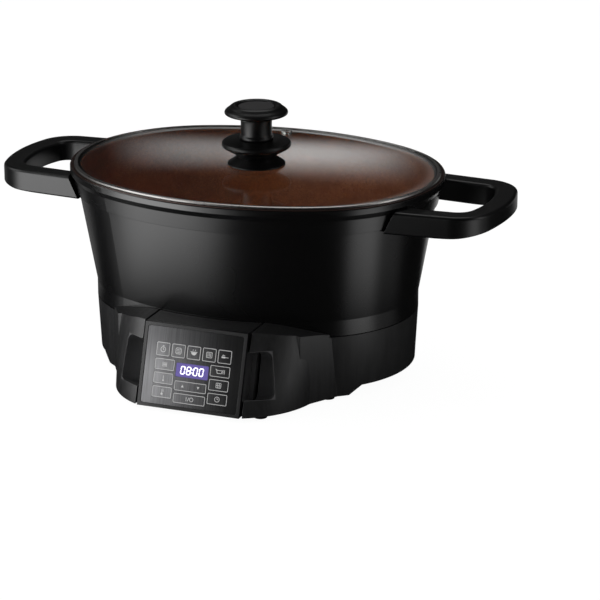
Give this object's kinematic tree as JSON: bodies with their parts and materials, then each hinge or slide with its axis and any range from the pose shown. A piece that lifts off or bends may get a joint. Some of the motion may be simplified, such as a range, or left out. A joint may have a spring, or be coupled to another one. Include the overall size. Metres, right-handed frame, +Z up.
{
  "type": "multicooker",
  "caption": "Oval multicooker: lidded cooking pot with two loop handles on a low heated base, and a control unit with display and keys that pulls out of the base's front.",
  "frame": {"origin": "on the table, under the middle of the whole outline", "axes": "+X to the right over the two handles, -Y out of the control panel's side, +Z up"},
  "size_m": [0.485, 0.299, 0.244],
  "materials": {
    "pot_coat": "satin black coat on cast aluminium",
    "pot_lining": "copper-brown metallic non-stick lining",
    "handle_plastic": "satin black heat-resistant plastic",
    "steel": "plain stainless steel",
    "reflector_sheet": "bright steel sheet",
    "lid_glass": "clear tempered glass",
    "insert_grey": "dark grey satin",
    "rubber": "matt black rubber",
    "base_plastic": "satin black plastic",
    "frame_plastic": "semi-gloss black plastic",
    "plate_aluminium": "cast and machined",
    "element_steel": "heat-darkened tube",
    "fuse_body": "ceramic body",
    "board": "green circuit board",
    "relay_blue": "moulded case",
    "transformer_yellow": "taped coil",
    "wire_red": "insulated wire",
    "film": "dark grey printed film with a brushed look",
    "display_window": "tinted window",
    "display_black": "dark display block",
    "switch_white": "small tact switches",
    "key_face": "dark grey printed key, same as the film"
  },
  "bodies": {
    "base": {"base_housing": "base_plastic", "bottom_cover": "base_plastic", "cover_screws": "steel", "rubber_feet": "rubber", "reflector_pan": "reflector_sheet", "heating_plate": "plate_aluminium", "heating_element": "element_steel", "plate_posts": "steel", "thermal_fuse": "fuse_body", "sensor_guide": "steel", "sensor_spring": "steel", "power_board": "board", "power_relay": "relay_blue", "power_transformer": "transformer_yellow", "base_socket": "frame_plastic", "cord_gland": "rubber", "base_wiring": "wire_red"},
    "sensor": {"sensor_plunger": "plate_aluminium"},
    "pot": {"pot_body": "pot_coat", "pot_coating": "pot_lining", "handle_left": "handle_plastic", "handle_right": "handle_plastic", "handle_screws": "steel"},
    "lid": {"lid_glass": "lid_glass", "lid_ring": "steel", "vent_eyelet": "steel", "knob_seat": "handle_plastic", "knob_guard": "handle_plastic", "knob_grip": "handle_plastic", "knob_insert": "insert_grey", "knob_gasket": "rubber", "knob_screw": "steel"},
    "control_unit": {"control_frame": "frame_plastic", "control_film": "film", "display_window": "display_window", "display_module": "display_black", "control_housing": "base_plastic", "control_board": "board", "key_switches": "switch_white", "control_plug": "frame_plastic", "frame_screws": "steel"},
    "key_top_1": {"key_top_1": "key_face"},
    "key_top_2": {"key_top_2": "key_face"},
    "key_top_3": {"key_top_3": "key_face"},
    "key_top_4": {"key_top_4": "key_face"},
    "key_top_5": {"key_top_5": "key_face"},
    "key_left_1": {"key_left_1": "key_face"},
    "key_left_2": {"key_left_2": "key_face"},
    "key_left_3": {"key_left_3": "key_face"},
    "key_right_1": {"key_right_1": "key_face"},
    "key_right_2": {"key_right_2": "key_face"},
    "key_right_3": {"key_right_3": "key_face"},
    "key_power": {"key_power": "key_face"},
    "key_up_down": {"key_up_down": "key_face"}
  },
  "joints": [
    {"name": "pot_lift", "type": "slide", "parent": "base", "child": "pot", "axis": [0, 0, 1], "range_m": [0, 0.2]},
    {"name": "lid_lift", "type": "slide", "parent": "pot", "child": "lid", "axis": [0, 0, 1], "range_m": [0, 0.15]},
    {"name": "control_unit_pull", "type": "slide", "parent": "base", "child": "control_unit", "axis": [0, -1, 0], "range_m": [0, 0.08]},
    {"name": "sensor_press", "type": "slide", "parent": "base", "child": "sensor", "axis": [0, 0, -1], "range_m": [0, 0.0015], "stiffness_N_per_m": 600, "springref_m": -0.001, "deforming": ["sensor_spring"]},
    {"name": "key_top_1_press", "type": "slide", "parent": "control_unit", "child": "key_top_1", "axis": [0, 0.9527, -0.304], "range_m": [0, 0.0005], "stiffness_N_per_m": 800, "springref_m": -0.0001},
    {"name": "key_top_2_press", "type": "slide", "parent": "control_unit", "child": "key_top_2", "axis": [0, 0.9527, -0.304], "range_m": [0, 0.0005], "stiffness_N_per_m": 800, "springref_m": -0.0001},
    {"name": "key_top_3_press", "type": "slide", "parent": "control_unit", "child": "key_top_3", "axis": [0, 0.9527, -0.304], "range_m": [0, 0.0005], "stiffness_N_per_m": 800, "springref_m": -0.0001},
    {"name": "key_top_4_press", "type": "slide", "parent": "control_unit", "child": "key_top_4", "axis": [0, 0.9527, -0.304], "range_m": [0, 0.0005], "stiffness_N_per_m": 800, "springref_m": -0.0001},
    {"name": "key_top_5_press", "type": "slide", "parent": "control_unit", "child": "key_top_5", "axis": [0, 0.9527, -0.304], "range_m": [0, 0.0005], "stiffness_N_per_m": 800, "springref_m": -0.0001},
    {"name": "key_left_1_press", "type": "slide", "parent": "control_unit", "child": "key_left_1", "axis": [0, 0.9527, -0.304], "range_m": [0, 0.0005], "stiffness_N_per_m": 800, "springref_m": -0.0001},
    {"name": "key_left_2_press", "type": "slide", "parent": "control_unit", "child": "key_left_2", "axis": [0, 0.9527, -0.304], "range_m": [0, 0.0005], "stiffness_N_per_m": 800, "springref_m": -0.0001},
    {"name": "key_left_3_press", "type": "slide", "parent": "control_unit", "child": "key_left_3", "axis": [0, 0.9527, -0.304], "range_m": [0, 0.0005], "stiffness_N_per_m": 800, "springref_m": -0.0001},
    {"name": "key_right_1_press", "type": "slide", "parent": "control_unit", "child": "key_right_1", "axis": [0, 0.9527, -0.304], "range_m": [0, 0.0005], "stiffness_N_per_m": 800, "springref_m": -0.0001},
    {"name": "key_right_2_press", "type": "slide", "parent": "control_unit", "child": "key_right_2", "axis": [0, 0.9527, -0.304], "range_m": [0, 0.0005], "stiffness_N_per_m": 800, "springref_m": -0.0001},
    {"name": "key_right_3_press", "type": "slide", "parent": "control_unit", "child": "key_right_3", "axis": [0, 0.9527, -0.304], "range_m": [0, 0.0005], "stiffness_N_per_m": 800, "springref_m": -0.0001},
    {"name": "key_power_press", "type": "slide", "parent": "control_unit", "child": "key_power", "axis": [0, 0.9527, -0.304], "range_m": [0, 0.0005], "stiffness_N_per_m": 800, "springref_m": -0.0001},
    {"name": "key_up_down_rock", "type": "hinge", "parent": "control_unit", "child": "key_up_down", "pos_m": [0, -0.14108, 0.02414], "axis": [0, 0.304, 0.9527], "range_deg": [-1.2, 1.2], "stiffness_Nm_per_rad": 0.2}
  ]
}
